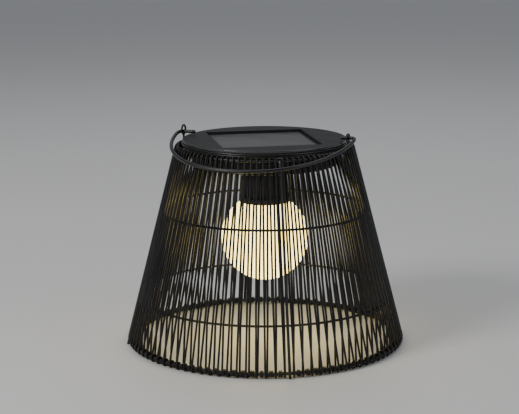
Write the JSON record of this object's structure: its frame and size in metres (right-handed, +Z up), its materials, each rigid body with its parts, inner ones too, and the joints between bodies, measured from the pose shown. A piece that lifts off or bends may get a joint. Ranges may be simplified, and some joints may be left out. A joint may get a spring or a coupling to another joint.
{
  "type": "solar lantern",
  "caption": "Conical cord-wound lantern with a folding wire handle, a solar panel lid and a lit opal globe hanging inside the open shade.",
  "frame": {"origin": "on the ground at the shade's axis, in the plane of the four post feet", "axes": "+Z up along the shade's axis, X along the handle's pivot axis, the folded handle lies towards -Y"},
  "size_m": [0.2986, 0.2986, 0.2312],
  "materials": {
    "frame_paint": "satin powder coat",
    "cord_plastic": "satin round cord",
    "lid_plastic": "fine moulded grain",
    "housing_plastic": "moulded",
    "solar_cell": "dark cells under laminate",
    "panel_glass": "frosted cover sheet",
    "seal_rubber": "matt",
    "screw_steel": "zinc plated",
    "circuit_board": "solder mask",
    "led_board_white": "white solder mask",
    "switch_plastic": "moulded",
    "coil_copper": "enamelled copper",
    "battery_wrap": "shrink sleeve",
    "contact_nickel": "nickel plated",
    "wire_red": "insulation",
    "wire_black": "insulation",
    "led_phosphor": "phosphor dome",
    "globe_opal": "opal, lit from inside"
  },
  "bodies": {
    "shade": {"base_inner_ring": "frame_paint", "base_outer_ring": "frame_paint", "battery": "battery_wrap", "battery_contact_plus": "contact_nickel", "battery_holder": "housing_plastic", "battery_spring": "contact_nickel", "charge_coil": "coil_copper", "control_board": "circuit_board", "cord_run_01": "cord_plastic", "cord_run_02": "cord_plastic", "cord_run_03": "cord_plastic", "cord_run_04": "cord_plastic", "cord_run_05": "cord_plastic", "cord_run_06": "cord_plastic", "cord_run_07": "cord_plastic", "cord_run_08": "cord_plastic", "cord_run_09": "cord_plastic", "cord_run_10": "cord_plastic", "cord_run_11": "cord_plastic", "cord_run_12": "cord_plastic", "cord_run_13": "cord_plastic", "cord_run_14": "cord_plastic", "cord_run_15": "cord_plastic", "cord_run_16": "cord_plastic", "handle_eye_left": "frame_paint", "handle_eye_right": "frame_paint", "housing_screw_1": "screw_steel", "housing_screw_2": "screw_steel", "housing_screw_3": "screw_steel", "housing_screw_4": "screw_steel", "housing_seal": "seal_rubber", "lamp_housing": "housing_plastic", "lamp_lead_black": "wire_black", "lamp_lead_red": "wire_red", "lamp_neck": "housing_plastic", "led_board": "led_board_white", "led_lens": "led_phosphor", "lid": "lid_plastic", "lower_hoop": "frame_paint", "neck_nut": "housing_plastic", "panel_glass": "panel_glass", "panel_lead_black": "wire_black", "panel_lead_red": "wire_red", "panel_seal": "seal_rubber", "post_1": "frame_paint", "post_2": "frame_paint", "post_3": "frame_paint", "post_4": "frame_paint", "solar_cell_board": "solar_cell", "switch_body": "switch_plastic", "switch_lead": "wire_black", "top_inner_ring": "frame_paint", "top_outer_ring": "frame_paint", "upper_hoop": "frame_paint"},
    "handle": {"handle": "frame_paint"},
    "switch_slider": {"switch_slider": "switch_plastic"},
    "battery_cover": {"battery_cover": "housing_plastic"},
    "globe": {"globe": "globe_opal", "globe_ring": "housing_plastic"}
  },
  "joints": [
    {"name": "handle_hinge", "type": "hinge", "parent": "shade", "child": "handle", "pos_m": [0, 0, 0.2233], "axis": [-1, 0, 0], "range_deg": [0, 201]},
    {"name": "switch_slide", "type": "slide", "parent": "shade", "child": "switch_slider", "axis": [0.8829, 0.4695, 0], "range_m": [0, 0.004]},
    {"name": "battery_cover_slide", "type": "slide", "parent": "shade", "child": "battery_cover", "axis": [0.8829, 0.4695, 0], "range_m": [0, 0.03]},
    {"name": "globe_twist", "type": "hinge", "parent": "shade", "child": "globe", "pos_m": [0, 0, 0.1552], "axis": [0, 0, 1], "range_deg": [0, 30]}
  ]
}
